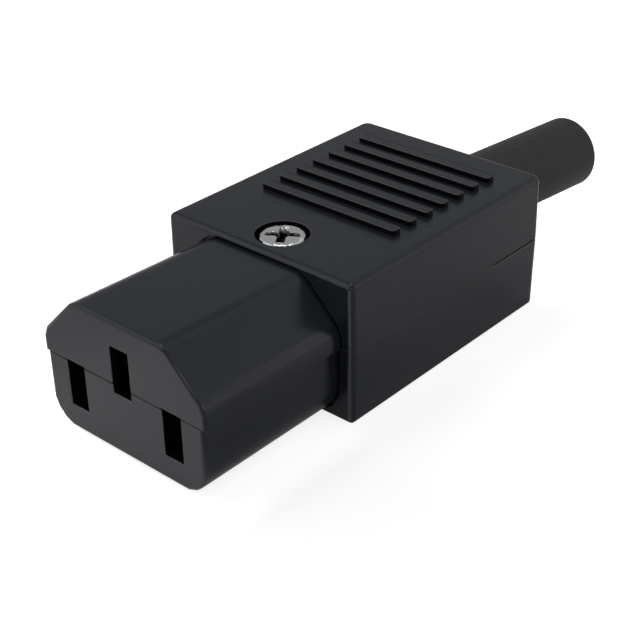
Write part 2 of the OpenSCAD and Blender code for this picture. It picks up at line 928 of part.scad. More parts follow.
// One contact: leaves on a flat strip that runs back to the screw terminal
module contact(x, terminal_y, strip_z) {
    color(brass_colour) placed()
        translate([x, 0, strip_z])
            difference() {
                union() {
                    linear_extrude(strip_t) {
                        translate([-strip_w / 2, leaf_straight])
                            square([strip_w, terminal_y - leaf_straight]);
                        translate([-terminal_w / 2, terminal_y - terminal_w / 2])
                            square(terminal_w);
                        children();
                    }
                    linear_extrude(strip_t + leaf_h)
                        leaves();
                }
                translate([0, terminal_y, -1])
                    cylinder(r = terminal_r, h = strip_t + 2);
                // The leaves stand free of the strip in front of their roots
                span([-strip_w, leaf_front - 1, -1], [strip_w, leaf_straight, strip_t]);
            }
}

module line_contact() {
    contact(line_x, line_y, line_strip_z);
}

module neutral_contact() {
    contact(-line_x, line_y, line_strip_z);
}

// The earth strip splits round the screw boss
module earth_contact() {
    difference() {
        contact(0, earth_y, earth_strip_z)
            translate([0, screw_y])
                circle(ring_out);
        placed()
            translate([0, screw_y, 0])
                cylinder(r = ring_in, h = far);
    }
}

// ---- Boot ----

// Round bar along the bend of the boot, which its straight runs lap by a little
module boot_bend(bar_r) {
    translate([boot_bend_r, rear_y + boot_root, cord_z])
        rotate([0, 0, 180 - boot_lean])
            rotate_extrude(angle = boot_lean)
                translate([boot_bend_r, 0])
                    circle(bar_r);
}

// Frame of the leaning run, with Z along the boot
module leaning() {
    translate([boot_bend_r * (1 - cos(boot_lean)), rear_y + boot_root + boot_bend_r * sin(boot_lean), cord_z])
        rotate([0, 0, -boot_lean])
            rotate([-90, 0, 0])
                children();
}

// Round bar along the straight part of the boot, from one place on Y to another
module boot_bar(bar_r, from_y, to_y) {
    translate([0, from_y, cord_z])
        rotate([-90, 0, 0])
            cylinder(r = bar_r, h = to_y - from_y);
}

module cable_boot() {
    color(boot_colour) placed() difference() {
        union() {
            boot_bar(boot_r, boot_front, rear_y + boot_root + boot_lap);
            boot_bar(flange_r, flange_front, flange_rear);
            boot_bend(boot_r - boot_step);
            leaning()
                rotate_extrude() {
                    translate([0, -boot_lap])
                        square([boot_r, boot_straight - boot_rim_r + boot_lap]);
                    square([boot_r - boot_rim_r, boot_straight]);
                    translate([boot_r - boot_rim_r, boot_straight - boot_rim_r])
                        circle(boot_rim_r);
                }
        }
        boot_bar(boot_bore_r, boot_front - 1, rear_y + boot_root + boot_lap);
        boot_bend(boot_bore_r + boot_step);
        leaning()
            translate([0, 0, -boot_lap])
                cylinder(r = boot_bore_r, h = far);
    }
}

upper_shell();
lower_shell();
cable_boot();
assembly_screw();
assembly_nut();
line_contact();
neutral_contact();
earth_contact();
line_terminal_screw();
neutral_terminal_screw();
earth_terminal_screw();
line_clamp_plate();
neutral_clamp_plate();
earth_clamp_plate();
cord_clamp();
cord_clamp_screw_left();
cord_clamp_screw_right();
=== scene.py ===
# %% [markdown]
# # A rewireable C13 connector
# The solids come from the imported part: they are the fixed frame, in metres, with the underside of
# the body on Z = 0, the nose towards -Y and the cable boot towards +Y. This lesson gives each solid
# the small things that a plain solid lacks: softened moulding edges, threads, a cross recess, a boot
# in one smooth sweep, and the finish of nylon, rubber, zinc plate and brass.

# %% Load the frame
import math

import bmesh
import bpy
import numpy as np
from mathutils import Matrix, Vector


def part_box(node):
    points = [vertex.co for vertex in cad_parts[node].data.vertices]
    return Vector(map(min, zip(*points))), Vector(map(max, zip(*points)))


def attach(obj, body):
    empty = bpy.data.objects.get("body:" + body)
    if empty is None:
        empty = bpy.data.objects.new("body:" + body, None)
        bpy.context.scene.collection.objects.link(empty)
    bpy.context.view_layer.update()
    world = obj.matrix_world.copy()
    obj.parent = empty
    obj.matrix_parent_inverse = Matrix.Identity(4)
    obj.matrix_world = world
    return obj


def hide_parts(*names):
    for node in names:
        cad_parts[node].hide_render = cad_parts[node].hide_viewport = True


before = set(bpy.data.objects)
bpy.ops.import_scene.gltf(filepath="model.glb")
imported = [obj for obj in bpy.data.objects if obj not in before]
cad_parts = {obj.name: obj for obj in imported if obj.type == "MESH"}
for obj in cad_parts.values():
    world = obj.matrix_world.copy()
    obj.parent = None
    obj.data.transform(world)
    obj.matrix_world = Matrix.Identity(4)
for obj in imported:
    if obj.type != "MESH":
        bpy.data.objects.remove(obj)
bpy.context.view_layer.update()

MM = 0.001

# %% [markdown]
# ## Places that several pieces share
# A part made in two shells has one plane that everything is set out from: the parting plane. The
# boot lies half in each shell, so the middle of its box is on that plane. The rear face of the body
# is where the upper shell ends. Reading both from the frame keeps this script true to the solids.

# %% Driving places
body_length = 34.6 * MM
rib_height = 0.6 * MM
boot_low, boot_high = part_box("cable_boot")
shell_low, shell_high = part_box("upper_shell")
parting_z = (boot_low.z + boot_high.z) / 2
rear_y = shell_high.y
body_front_y = rear_y - body_length
body_top = shell_high.z - rib_height
screw_low, screw_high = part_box("assembly_screw")
screw_axis = (screw_low.xy + screw_high.xy) / 2
print("parting plane at", round(parting_z / MM, 3), "mm, rear face at", round(rear_y / MM, 3), "mm")


# %% [markdown]
# ## Surfaces as grids of points
# A turned or swept piece is a grid: one direction runs along its profile, the other round its axis.
# Modelling it by hand in Edit Mode would work as well, but a formula says exactly what the shape is
# and is easy to change. A grid that starts and ends on its axis is closed there by a fan of
# triangles; one whose profile comes back to its start closes on itself, as the wall of a tube does.

# %% Turn a grid of points into a piece
def grid_faces(rows, cols, cyclic):
    """Faces of a grid that closes round its columns: (i, j), (i+1, j), (i+1, j+1), (i, j+1). A
    cyclic grid also closes from its last row to its first."""
    last = rows if cyclic else rows - 1
    i, j = np.meshgrid(np.arange(last), np.arange(cols), indexing="ij")
    i2, j2 = (i + 1) % rows, (j + 1) % cols
    return np.stack([i * cols + j, i2 * cols + j, i2 * cols + j2, i * cols + j2], -1).reshape(-1, 4)


def piece(name, points, poles=()):
    """Mesh of a grid of points (rows, cols, 3). poles are the two end points that close it."""
    rows, cols = points.shape[:2]
    vertices = points.reshape(-1, 3)
    faces = grid_faces(rows, cols, cyclic=not len(poles)).tolist()
    if len(poles):
        first, last = rows * cols, rows * cols + 1
        vertices = np.vstack([vertices, poles])
        near, next_one = np.arange(cols), (np.arange(cols) + 1) % cols
        end = (rows - 1) * cols
        faces += np.stack([np.full(cols, first), near, next_one], -1).tolist()
        faces += np.stack([np.full(cols, last), end + next_one, end + near], -1).tolist()
    mesh = bpy.data.meshes.new(name)
    mesh.from_pydata(vertices.tolist(), [], faces)
    mesh.update()
    made = bpy.data.objects.new(name, mesh)
    bpy.context.scene.collection.objects.link(made)
    return made


def smooth(obj, degrees):
    """Shades the piece smooth, with a crease where two faces meet at more than this angle."""
    mesh = obj.data
    mesh.polygons.foreach_set("use_smooth", np.ones(len(mesh.polygons), bool))
    mesh.set_sharp_from_angle(angle=math.radians(degrees))


def arc(centre, radius, start, end, steps):
    """Points on a circle in the profile plane, from one angle to another, in degrees."""
    a = np.radians(np.linspace(start, end, steps))
    return np.stack([centre[0] + radius * np.cos(a), centre[1] + radius * np.sin(a)], -1)


def volume(obj):
    """Volume enclosed by the piece, in cubic mm: it is positive where the faces point outwards."""
    bm = bmesh.new()
    bm.from_mesh(obj.data)
    found = bm.calc_volume(signed=True) / MM**3
    bm.free()
    return found


print("faces of an open grid of 3 rows and 4 columns:", len(grid_faces(3, 4, cyclic=False)))

# %% [markdown]
# ## Materials: one helper, one palette
# Colours are written as a designer would note them, in sRGB hex, and one function turns them to the
# linear values that the shader needs. One more function adds a node with its settings and links.

# %% Colour and node helpers
def srgb(code):
    """Linear colour of an sRGB hex code: below 0.04045 a straight line, above it a power curve."""
    c = np.array([int(code[k : k + 2], 16) for k in (1, 3, 5)]) / 255
    linear = np.where(c <= 0.04045, c / 12.92, ((c + 0.055) / 1.055) ** 2.4)
    return (*linear.tolist(), 1.0)


def node(tree, kind, inputs=None, **settings):
    """Adds a node, sets its properties, and sets or links its inputs."""
    made = tree.nodes.new(kind)
    for key, value in settings.items():
        setattr(made, key, value)
    for key, value in (inputs or {}).items():
        if isinstance(value, bpy.types.NodeSocket):
            tree.links.new(value, made.inputs[key])
        else:
            made.inputs[key].default_value = value
    return made


def new_material(name):
    """An empty node material with its shader and output. Returns the material, tree and shader."""
    material = bpy.data.materials.new(name)
    material.use_nodes = True
    tree = material.node_tree
    tree.nodes.clear()
    shader = node(tree, "ShaderNodeBsdfPrincipled")
    node(tree, "ShaderNodeOutputMaterial", {"Surface": shader.outputs[0]})
    return material, tree, shader


def finish_with(obj, material):
    """Gives the piece this one material."""
    obj.data.materials.clear()
    obj.data.materials.append(material)


print("middle grey #808080 in linear values:", [round(v, 3) for v in srgb("#808080")[:3]])

# %% [markdown]
# ## Black nylon, moulded in a spark-eroded tool
# The housing is glass-filled nylon, dyed black through and through. Almost all that the eye gets
# from it is the soft reflection at its skin, so its base colour is nearly black. Spark erosion
# leaves the tool with fine craters about 0.1 mm across, and the skin copies them as an even satin
# grain. The nose is drawn out of a polished part of the tool, so its grain is weaker and it shines
# a little more. The grain is a bump, because it is far too fine to be worth real geometry; it is
# drawn at 0.26 mm, as coarse as it needs to be to show in a picture of the whole object.
#
# Two more finishes of the same nylon are painted light. Rib flanks, slots and the screw's recess
# get painted shade, near black and with little reflection, and edges get a painted grey highlight.

# %% Nylon
nylon_ior = 1.5
grain_size, grain_depth = 0.26 * MM, 0.02 * MM
flow_size = 8 * MM


def spark_eroded_nylon():
    """The body and the nose: a satin grain, weaker on the nose, on a nearly black base."""
    material, tree, shader = new_material("spark_eroded_black_nylon")
    place = node(tree, "ShaderNodeTexCoord").outputs["Object"]
    # 0 on the polished nose, 1 on the eroded body
    along = node(tree, "ShaderNodeSeparateXYZ", {"Vector": place}).outputs["Y"]
    on_body = node(tree, "ShaderNodeMapRange", {
        "Value": along,
        "From Min": body_front_y - 0.2 * MM,
        "From Max": body_front_y + 0.1 * MM,
    }).outputs["Result"]
    craters = node(tree, "ShaderNodeTexNoise", {
        "Vector": place, "Scale": 1 / grain_size, "Detail": 3.0, "Roughness": 0.6,
    }).outputs["Fac"]
    # Flow of the melt leaves the gloss a little uneven over some 8 mm
    flow = node(tree, "ShaderNodeTexNoise", {
        "Vector": place, "Scale": 1 / flow_size, "Detail": 4.0, "Roughness": 0.55,
    }).outputs["Fac"]
    grain = node(tree, "ShaderNodeMapRange", {
        "Value": on_body, "To Min": 0.25, "To Max": 1.0,
    }).outputs["Result"]
    bump = node(tree, "ShaderNodeBump", {
        "Height": craters, "Strength": grain, "Distance": grain_depth,
    })
    gloss = node(tree, "ShaderNodeMapRange", {
        "Value": flow, "From Min": 0.3, "From Max": 0.7, "To Min": 0.20, "To Max": 0.27,
    }).outputs["Result"]
    shader.inputs["Base Color"].default_value = srgb("#16191f")
    shader.inputs["IOR"].default_value = nylon_ior
    tree.links.new(gloss, shader.inputs["Roughness"])
    tree.links.new(bump.outputs["Normal"], shader.inputs["Normal"])
    return material


def painted_shade_nylon():
    """Painted shade for rib flanks, slots and the screw's recess: near black, matt, with little
    reflection.
    """
    material, tree, shader = new_material("painted_shade_black_nylon")
    # Painted shade: a near black base with little reflection
    shader.inputs["Base Color"].default_value = srgb("#050506")
    shader.inputs["Roughness"].default_value = 0.45
    shader.inputs["IOR"].default_value = nylon_ior
    shader.inputs["Specular IOR Level"].default_value = 0.12
    return material


def painted_highlight_nylon():
    """Painted highlight for edges: a pale grey nylon."""
    material, tree, shader = new_material("painted_highlight_grey_nylon")
    # Painted highlight: a pale grey base
    shader.inputs["Base Color"].default_value = srgb("#404347")
    shader.inputs["Roughness"].default_value = 0.35
    shader.inputs["IOR"].default_value = nylon_ior
    return material


nylon = spark_eroded_nylon()
painted_shade_finish = painted_shade_nylon()
painted_highlight_finish = painted_highlight_nylon()
print("materials:", nylon.name, painted_shade_finish.name, painted_highlight_finish.name)


# %% [markdown]
# ## Soft black rubber
# The boot is moulded in PVC rubber. It scatters what it reflects, so it looks flat and even beside
# the nylon, a little greyer, with a faint cloudiness from handling.

# %% Rubber
bloom_size = 3 * MM
pore_size, pore_depth = 0.3 * MM, 0.01 * MM


def matte_rubber():
    """Even and matt: clouds between two near blacks, and a fine bump of pores."""
    material, tree, shader = new_material("matte_black_rubber")
    place = node(tree, "ShaderNodeTexCoord").outputs["Object"]
    bloom = node(tree, "ShaderNodeTexNoise", {
        "Vector": place, "Scale": 1 / bloom_size, "Detail": 5.0, "Roughness": 0.6,
    }).outputs["Fac"]
    pores = node(tree, "ShaderNodeTexNoise", {
        "Vector": place, "Scale": 1 / pore_size, "Detail": 2.0,
    }).outputs["Fac"]
    colour = node(tree, "ShaderNodeMix", {
        "Factor": bloom, "A": srgb("#202022"), "B": srgb("#28282a"),
    }, data_type="RGBA")
    bump = node(tree, "ShaderNodeBump", {
        "Height": pores, "Strength": 0.6, "Distance": pore_depth,
    })
    tree.links.new(colour.outputs["Result"], shader.inputs["Base Color"])
    tree.links.new(bump.outputs["Normal"], shader.inputs["Normal"])
    shader.inputs["Roughness"].default_value = 0.55
    shader.inputs["IOR"].default_value = 1.5
    return material


rubber = matte_rubber()
print("material:", rubber.name)


# %% [markdown]
# ## Zinc plate and rolled brass
# The screws, the nut and the clamp plates are steel with bright zinc plate: a pale, slightly blue
# metal, glossy, with small dents and differences in gloss from the tumbling bath. Shade is painted
# in the recess of a screw, darker the deeper a point lies, through a value stored on the points.
# The contacts are stamped from brass strip, whose rolling marks run along it as fine streaks.

# %% Metals
dent_size, dent_depth = 0.9 * MM, 0.3 * MM
streak_width, streak_length = 0.15 * MM, 3 * MM


def bright_zinc():
    """Pale metal with soft dents and uneven gloss, painted near black as shade where the recess is deep.
    """
    material, tree, shader = new_material("bright_zinc_plated_steel")
    place = node(tree, "ShaderNodeTexCoord").outputs["Object"]
    tumbled = node(tree, "ShaderNodeTexNoise", {
        "Vector": place, "Scale": 1 / dent_size, "Detail": 2.0, "Roughness": 0.4,
    }).outputs["Fac"]
    gloss = node(tree, "ShaderNodeMapRange", {
        "Value": tumbled, "From Min": 0.3, "From Max": 0.7, "To Min": 0.16, "To Max": 0.34,
    }).outputs["Result"]
    bump = node(tree, "ShaderNodeBump", {
        "Height": tumbled, "Strength": 1.0, "Distance": dent_depth,
    })
    depth_and_painted_shade = node(tree, "ShaderNodeAttribute", attribute_name="depth_and_painted_shade").outputs["Fac"]
    # Painted shade: the base colour goes from pale zinc to near black in the recess
    colour = node(tree, "ShaderNodeMix", {
        "Factor": depth_and_painted_shade, "A": srgb("#f2f4f5"), "B": srgb("#08090a"),
    }, data_type="RGBA")
    tree.links.new(colour.outputs["Result"], shader.inputs["Base Color"])
    shader.inputs["Metallic"].default_value = 1.0
    tree.links.new(gloss, shader.inputs["Roughness"])
    tree.links.new(bump.outputs["Normal"], shader.inputs["Normal"])
    return material


def rolled_brass():
    """Yellow metal whose gloss changes in streaks along the strip."""
    material, tree, shader = new_material("rolled_brass_strip")
    place = node(tree, "ShaderNodeTexCoord").outputs["Object"]
    stretched = node(tree, "ShaderNodeMapping", {
        "Vector": place, "Scale": (1 / streak_width, 1 / streak_length, 1 / streak_width),
    }).outputs["Vector"]
    streaks = node(tree, "ShaderNodeTexNoise", {
        "Vector": stretched, "Scale": 1.0, "Detail": 3.0,
    }).outputs["Fac"]
    gloss = node(tree, "ShaderNodeMapRange", {
        "Value": streaks, "From Min": 0.3, "From Max": 0.7, "To Min": 0.22, "To Max": 0.38,
    }).outputs["Result"]
    shader.inputs["Base Color"].default_value = srgb("#d9b45c")
    shader.inputs["Metallic"].default_value = 1.0
    tree.links.new(gloss, shader.inputs["Roughness"])
    return material


zinc = bright_zinc()
brass = rolled_brass()
print("materials:", zinc.name, brass.name)


# %% [markdown]
# ## Where painted shade and painted highlight lie on the nylon
# A shell is one piece with three finishes: the eroded nylon, painted shade and a painted highlight.
# They could be set face by face in Edit Mode, but the place of a face and the way it faces already
# tell them apart: rib flanks stand above the top of the body, the screw's recess is near the
# screw's axis, the slots lie inside the nose, and the highlight is on the body's front right corner.

# %% Which finish a face gets
# Finishes of a shell: 1 is painted shade, 2 is a painted highlight
ERODED, PAINTED_SHADE, PAINTED_HIGHLIGHT = 0, 1, 2
slot_half_width = 9.8 * MM
slot_low_z, slot_high_z = 1.8 * MM, 14 * MM
slot_front_y = shell_low.y + 0.05 * MM
recess_r = 3.1 * MM
corner_reach = 1 * MM


def in_slots(point):
    """True inside the nose, where the three contact slots are."""
    return (abs(point.x) < slot_half_width and slot_low_z < point.z < slot_high_z
            and slot_front_y < point.y < body_front_y)


def gets_painted_shade(centre, normal):
    """True where shade is painted: rib flanks, the screw recess, the slots. Neither the tops of the ribs
    nor the chamfers of the nose, which slope, get it."""
    if abs(normal.z) > 0.5 and centre.z > body_top:
        return False
    rib = centre.z > body_top + 0.01 * MM
    recess = (centre.xy - screw_axis).length < recess_r and centre.z > parting_z
    chamfer = 0.3 < normal.z < 0.9
    return rib or (recess and abs(normal.z) < 0.5) or (in_slots(centre) and not chamfer)


def gets_painted_highlight(centre, normal):
    """True on the part of the body's rounded front corner on the right where a highlight is painted."""
    corner = centre.x > shell_high.x - corner_reach and centre.y < body_front_y + corner_reach
    return corner and 0.2 < normal.x < 0.62 and normal.y < -0.5 and abs(normal.z) < 0.3


def finish_of(face):
    """Number of the material that this face of a shell gets."""
    if gets_painted_highlight(face.center, face.normal):
        return PAINTED_HIGHLIGHT
    if gets_painted_shade(face.center, face.normal):
        return PAINTED_SHADE
    return ERODED


print("finishes of a shell:", {ERODED: nylon.name, PAINTED_SHADE: painted_shade_finish.name, PAINTED_HIGHLIGHT: painted_highlight_finish.name})

# %% [markdown]
# ## Moulded and stamped pieces with softened edges
# No moulded edge is truly sharp: the tool is worn to a radius of a tenth of a millimetre or so, and
# that thin line catches the light on every rib and rim. The solids already have the right form, so
# each piece starts as a merged copy of its solid and a Bevel modifier rounds its outer edges. On a
# shell it also gives the new faces the pale nylon of the painted highlight, so that each edge of the
# housing is drawn as a fine grey painted highlight.
#
# The modifier multiplies its width by a weight stored on each edge. The ribs are small, so their
# edges get a third of it, or a fifth where they look rearwards. The edges on the parting plane also
# get a fifth, because there the two shells meet flush, and next to nothing between the slots, where
# the walls are thin. Each shell is drawn back a little from that plane, most at the tip of the nose,
# and this leaves the hairline that shows where two shells meet.

# %% Weight of an edge
outer_weight, rib_weight, thin_weight, slot_weight = 1.0, 0.35, 0.2, 0.02
on_plane = 0.02 * MM


def edge_weight(edge, flush_z):
    """Share of the bevel's width that this edge gets. Edges on flush_z lie on the parting plane."""
    flush = flush_z is not None and all(abs(v.co.z - flush_z) < on_plane for v in edge.verts)
    middle = (edge.verts[0].co + edge.verts[1].co) / 2
    rib = all(v.co.z > body_top - 0.01 * MM for v in edge.verts)
    rear = rib and any(face.normal.y > 0.5 for face in edge.link_faces)
    if flush and in_slots(middle):
        return slot_weight
    if flush or rear:
        return thin_weight
    return rib_weight if rib else outer_weight


print("weights of edges:", outer_weight, rib_weight, thin_weight, slot_weight)

# %% Draw a shell back from the parting plane
tip_share = 4.0


def draw_back(mesh, flush_z, part):
    """Moves the points on flush_z by part, growing in a straight line to tip_share times as much
    from the front of the body to the tip of the nose."""
    points = np.empty(3 * len(mesh.vertices), np.float32)
    mesh.vertices.foreach_get("co", points)
    x, y, z = points.reshape(-1, 3).astype(float).T
    share = np.interp(y, [shell_low.y, body_front_y], [tip_share, 1.0])
    z = np.where(np.abs(z - flush_z) < on_plane, z + part * share, z)
    mesh.vertices.foreach_set("co", np.stack([x, y, z], -1).astype(np.float32).ravel())
    mesh.update()


# %% Soften a copy of a solid
merge_distance = 0.0005 * MM
level_angle = math.radians(0.5)
edge_angle = math.radians(30)


def softened(name, source, width, material, flush_z=None, part=0.0):
    """Copy of a solid with its outer edges rounded. A shell also gives flush_z, the height of the
    parting plane, and part, the distance it is drawn back from there, and gets three finishes."""
    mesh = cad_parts[source].data.copy()
    mesh.name = name
    bm = bmesh.new()
    bm.from_mesh(mesh)
    bmesh.ops.remove_doubles(bm, verts=bm.verts, dist=merge_distance)
    bmesh.ops.dissolve_limit(
        bm, angle_limit=level_angle, verts=bm.verts, edges=bm.edges, delimit={"NORMAL"}
    )
    weight = bm.edges.layers.float.new("bevel_weight_edge")
    for edge in bm.edges:
        if edge.is_convex and edge.calc_face_angle(0) >= edge_angle:
            edge[weight] = edge_weight(edge, flush_z)
    bm.to_mesh(mesh)
    bm.free()
    if flush_z is not None:
        draw_back(mesh, flush_z, part)
    made = bpy.data.objects.new(name, mesh)
    bpy.context.scene.collection.objects.link(made)
    bevel = made.modifiers.new("worn_tool_edge", "BEVEL")
    bevel.limit_method = "WEIGHT"
    bevel.width = width
    bevel.segments = 2
    bevel.use_clamp_overlap = False
    flat = made.modifiers.new("flat_faces_stay_flat", "WEIGHTED_NORMAL")
    flat.weight = 100
    flat.keep_sharp = True
    smooth(made, 30)
    finish_with(made, material)
    if flush_z is not None:
        mesh.materials.append(painted_shade_finish)
        mesh.materials.append(painted_highlight_finish)
        # The bevel's new faces on a shell get the painted highlight
        bevel.material = PAINTED_HIGHLIGHT
        finish = [finish_of(face) for face in mesh.polygons]
        mesh.polygons.foreach_set("material_index", finish)
        # Counts of faces with painted shade and with a painted highlight
        print(name, "faces drawn and rubbed:", finish.count(PAINTED_SHADE), finish.count(PAINTED_HIGHLIGHT))
    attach(made, "root")
    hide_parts(source)
    return made


# %% The softened pieces
shell_edge, bar_edge, strip_edge, plate_edge = 0.12 * MM, 0.15 * MM, 0.06 * MM, 0.08 * MM
hairline = 0.014 * MM
softened("housing_upper", "upper_shell", shell_edge, nylon, parting_z, hairline)
softened("housing_lower", "lower_shell", shell_edge, nylon, parting_z, -hairline)
softened("cord_clamp_bar", "cord_clamp", bar_edge, nylon)
for wire in ("line", "neutral", "earth"):
    softened(f"{wire}_contact_strip", f"{wire}_contact", strip_edge, brass)
    softened(f"{wire}_terminal_plate", f"{wire}_clamp_plate", plate_edge, zinc)


# %% [markdown]
# ## The cable boot
# The real boot is one rubber moulding: a plain tube with a flange that the shells hold, leaning a
# little to one side. A tube could be extruded along a curve, but the flange and the rounded rim are
# easier as one profile, given as distance along the boot and radius, that a path carries along.

# %% Sizes of the boot
# Places along the boot are measured from the rear face of the body
boot_r = 4.65 * MM
boot_bore_r = 3.6 * MM
boot_end = 23.9 * MM
bore_mouth = 1 * MM
boot_rim, boot_lip, boot_fillet = 0.7 * MM, 0.25 * MM, 0.2 * MM
boot_lean = math.radians(6.5)
boot_bend_r = 15 * MM
boot_root = 0.3 * MM
flange_r = (boot_high.z - boot_low.z) / 2
flange_rear = -2.3 * MM
flange_t = 2 * MM
print("flange radius:", round(flange_r / MM, 2), "mm, boot radius:", round(boot_r / MM, 2), "mm")


# %% Boot
def along_boot(s):
    """Centre line: straight, then round an arc, then straight again at the lean. s is the distance
    behind the rear face of the body. Returns the points and the angle reached at each of them."""
    run = s - boot_root
    angle = np.clip(run / boot_bend_r, 0, boot_lean)
    before = np.minimum(run, 0)
    after = np.maximum(run - boot_bend_r * boot_lean, 0)
    x = boot_bend_r * (1 - np.cos(angle)) + after * np.sin(angle)
    y = rear_y + boot_root + before + boot_bend_r * np.sin(angle) + after * np.cos(angle)
    return x, y, angle


def boot_profile():
    """Distance and radius from the front end along the outside, over the rim, back down the bore."""
    rim, lip, fillet = boot_rim, boot_lip, boot_fillet
    front = boot_low.y - rear_y
    flange_front = flange_rear - flange_t
    outside = [
        arc((front + fillet, boot_r - fillet), fillet, 180, 90, 5),
        [(flange_front, boot_r)],
        arc((flange_front + fillet, flange_r - fillet), fillet, 180, 90, 5),
        arc((flange_rear - fillet, flange_r - fillet), fillet, 90, 0, 5),
        [(flange_rear, boot_r)],
        np.stack([np.linspace(0, boot_end - rim, 40), np.full(40, boot_r)], -1),
        arc((boot_end - rim, boot_r - rim), rim, 90, 0, 12)[1:],
    ]
    bore = [
        arc((boot_end - lip, boot_bore_r + lip), lip, 0, -90, 6),
        np.stack([np.linspace(boot_end - bore_mouth, front + fillet, 40), np.full(40, boot_bore_r)], -1),
    ]
    return np.vstack(outside + bore)


def cable_boot():
    """The profile swept along the centre line, in 128 steps round it."""
    s, r = boot_profile().T
    x, y, angle = along_boot(s)
    turn = np.linspace(0, 2 * np.pi, 128, endpoint=False)
    side, up = np.outer(r, np.cos(turn)), np.outer(r, np.sin(turn))
    points = np.stack([
        x[:, None] + side * np.cos(angle)[:, None],
        y[:, None] - side * np.sin(angle)[:, None],
        parting_z + up,
    ], -1)
    return piece("rubber_cable_boot", points)


boot = cable_boot()
smooth(boot, 30)
finish_with(boot, rubber)
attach(boot, "root")
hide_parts("cable_boot")
print("boot encloses", round(volume(boot), 1), "cubic mm")


# %% [markdown]
# ## Screws with a rolled thread and a cross recess
# A pan-head screw is cold-headed and thread-rolled from wire. Its head is a flat dome, its recess a
# cross that narrows as it gets deeper. Cutting the cross with a Boolean would work, but the head is
# a height over its own disc, so the recess is just a depth taken off that height. The thread is one
# triangle wave in the radius that winds once round for each pitch.

# %% Cross and thread
def cross_depth(x, y, head_r):
    """Share of the full depth, 0 to 1. Each arm falls steeply at its sides and gently at its end,
    and a small cone joins the arms in the middle."""
    half_width, reach, cone_r = 0.18 * head_r, 0.74 * head_r, 0.34 * head_r
    side_slope, end_slope, cone_slope = 0.05 * head_r, 0.22 * head_r, 0.14 * head_r

    def arm(u, v):
        inside = np.minimum((half_width - np.abs(v)) / side_slope, (reach - np.abs(u)) / end_slope)
        return np.clip(inside, 0, 1)

    cone = np.clip((cone_r - np.hypot(x, y)) / cone_slope, 0, 1)
    return np.maximum(np.maximum(arm(x, y), arm(y, x)), cone)


def thread_depth(z, turn, pitch, depth):
    """A triangle wave of z and the turn round the axis: nothing at the crest, full depth midway."""
    phase = (z / pitch + turn / (2 * np.pi)) % 1
    return depth * (1 - np.abs(2 * phase - 1))


# %% Profile of a pan-head screw
def head_profile(head_r, head_h):
    """Radius and height from the middle to the rim: a shallow dome, whose height falls with the
    square of the radius and turns down in a quarter ellipse over the last fifth."""
    t = np.linspace(0, 1, 90)[1:]
    r = head_r * np.sin(t * np.pi / 2) ** 0.8
    shoulder = np.clip((r / head_r - 0.8) / 0.2, 0, 1)
    z = head_h * (1 - 0.05 * (r / head_r) ** 2 - 0.2 * (1 - np.sqrt(1 - shoulder**2)))
    return r, z


def shank_profile(shank_r, length, pitch):
    """Radius and height down the shank, eight rows for each pitch. The last 0.4 mm taper to 72 %
    of the radius."""
    z = np.linspace(-0.01 * MM, -length, int(8 * length / pitch))
    chamfer = np.clip((z + length) / (0.4 * MM), 0, 1)
    return shank_r * (0.72 + 0.28 * chamfer), z


# %% Screw
cross_share = 0.55


def pan_screw(name, source, head_h, shank_r, pitch, cross_turn, cols=192):
    """A screw that fills the box of its solid, head up: one profile carried round the axis, less
    the thread on its radius and the cross, cross_share of the head's height deep, on its top."""
    low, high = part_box(source)
    centre = (low + high) / 2
    head_r = (high.x - low.x) / 2
    length = high.z - low.z - head_h
    turn = np.linspace(0, 2 * np.pi, cols, endpoint=False)
    top_r, top_z = head_profile(head_r, head_h)
    shank_rows_r, shank_rows_z = shank_profile(shank_r, length, pitch)
    r = np.concatenate([top_r, [head_r, 0.98 * head_r, shank_r], shank_rows_r])[:, None]
    height = np.concatenate([top_z, [0.02 * head_h, 0.0, 0.0], shank_rows_z])[:, None]
    # The thread is at full depth half a pitch below the head, and stops 0.2 mm before the tip
    on_shank = (height < 0) & (height > -length + 0.2 * MM)
    depth = 0.6 * pitch * np.minimum(1, (-height) / (0.5 * pitch)) * on_shank
    r = r - thread_depth(height, turn[None, :], pitch, depth) * (r > 0.8 * shank_r)
    on_top = height > 0.5 * head_h
    x, y = r * np.cos(turn - cross_turn), r * np.sin(turn - cross_turn)
    depth_and_painted_shade = cross_depth(x, y, head_r) * on_top
    z = height - cross_share * head_h * depth_and_painted_shade
    seat = high.z - head_h
    points = np.stack([
        centre.x + r * np.cos(turn), centre.y + r * np.sin(turn), seat + z,
    ], -1)
    cross_floor, tip = seat + (1 - cross_share) * head_h, seat - length
    poles = [(centre.x, centre.y, cross_floor), (centre.x, centre.y, tip)]
    made = piece(name, points, poles)
    # Painted shade in the recess follows the root of its depth. The pole in the cross is painted dark,
    # the tip isn't
    shade = np.append(np.minimum(1, 1.2 * np.sqrt(depth_and_painted_shade)).ravel(), [1, 0])
    stored = made.data.attributes.new("depth_and_painted_shade", "FLOAT", "POINT")
    stored.data.foreach_set("value", shade.astype(np.float32))
    smooth(made, 40)
    finish_with(made, zinc)
    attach(made, "root")
    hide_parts(source)
    return made


# %% The six screws
main_head_h, terminal_head_h, clamp_head_h = 1.9 * MM, 1.8 * MM, 1.6 * MM
m3_r, m3_pitch = 1.5 * MM, 0.5 * MM
coarse_r, coarse_pitch = 1.3 * MM, 1.0 * MM

main_screw = pan_screw("housing_screw", "assembly_screw", main_head_h, m3_r, m3_pitch,
                       math.radians(34))
print("housing screw encloses", round(volume(main_screw), 1), "cubic mm")

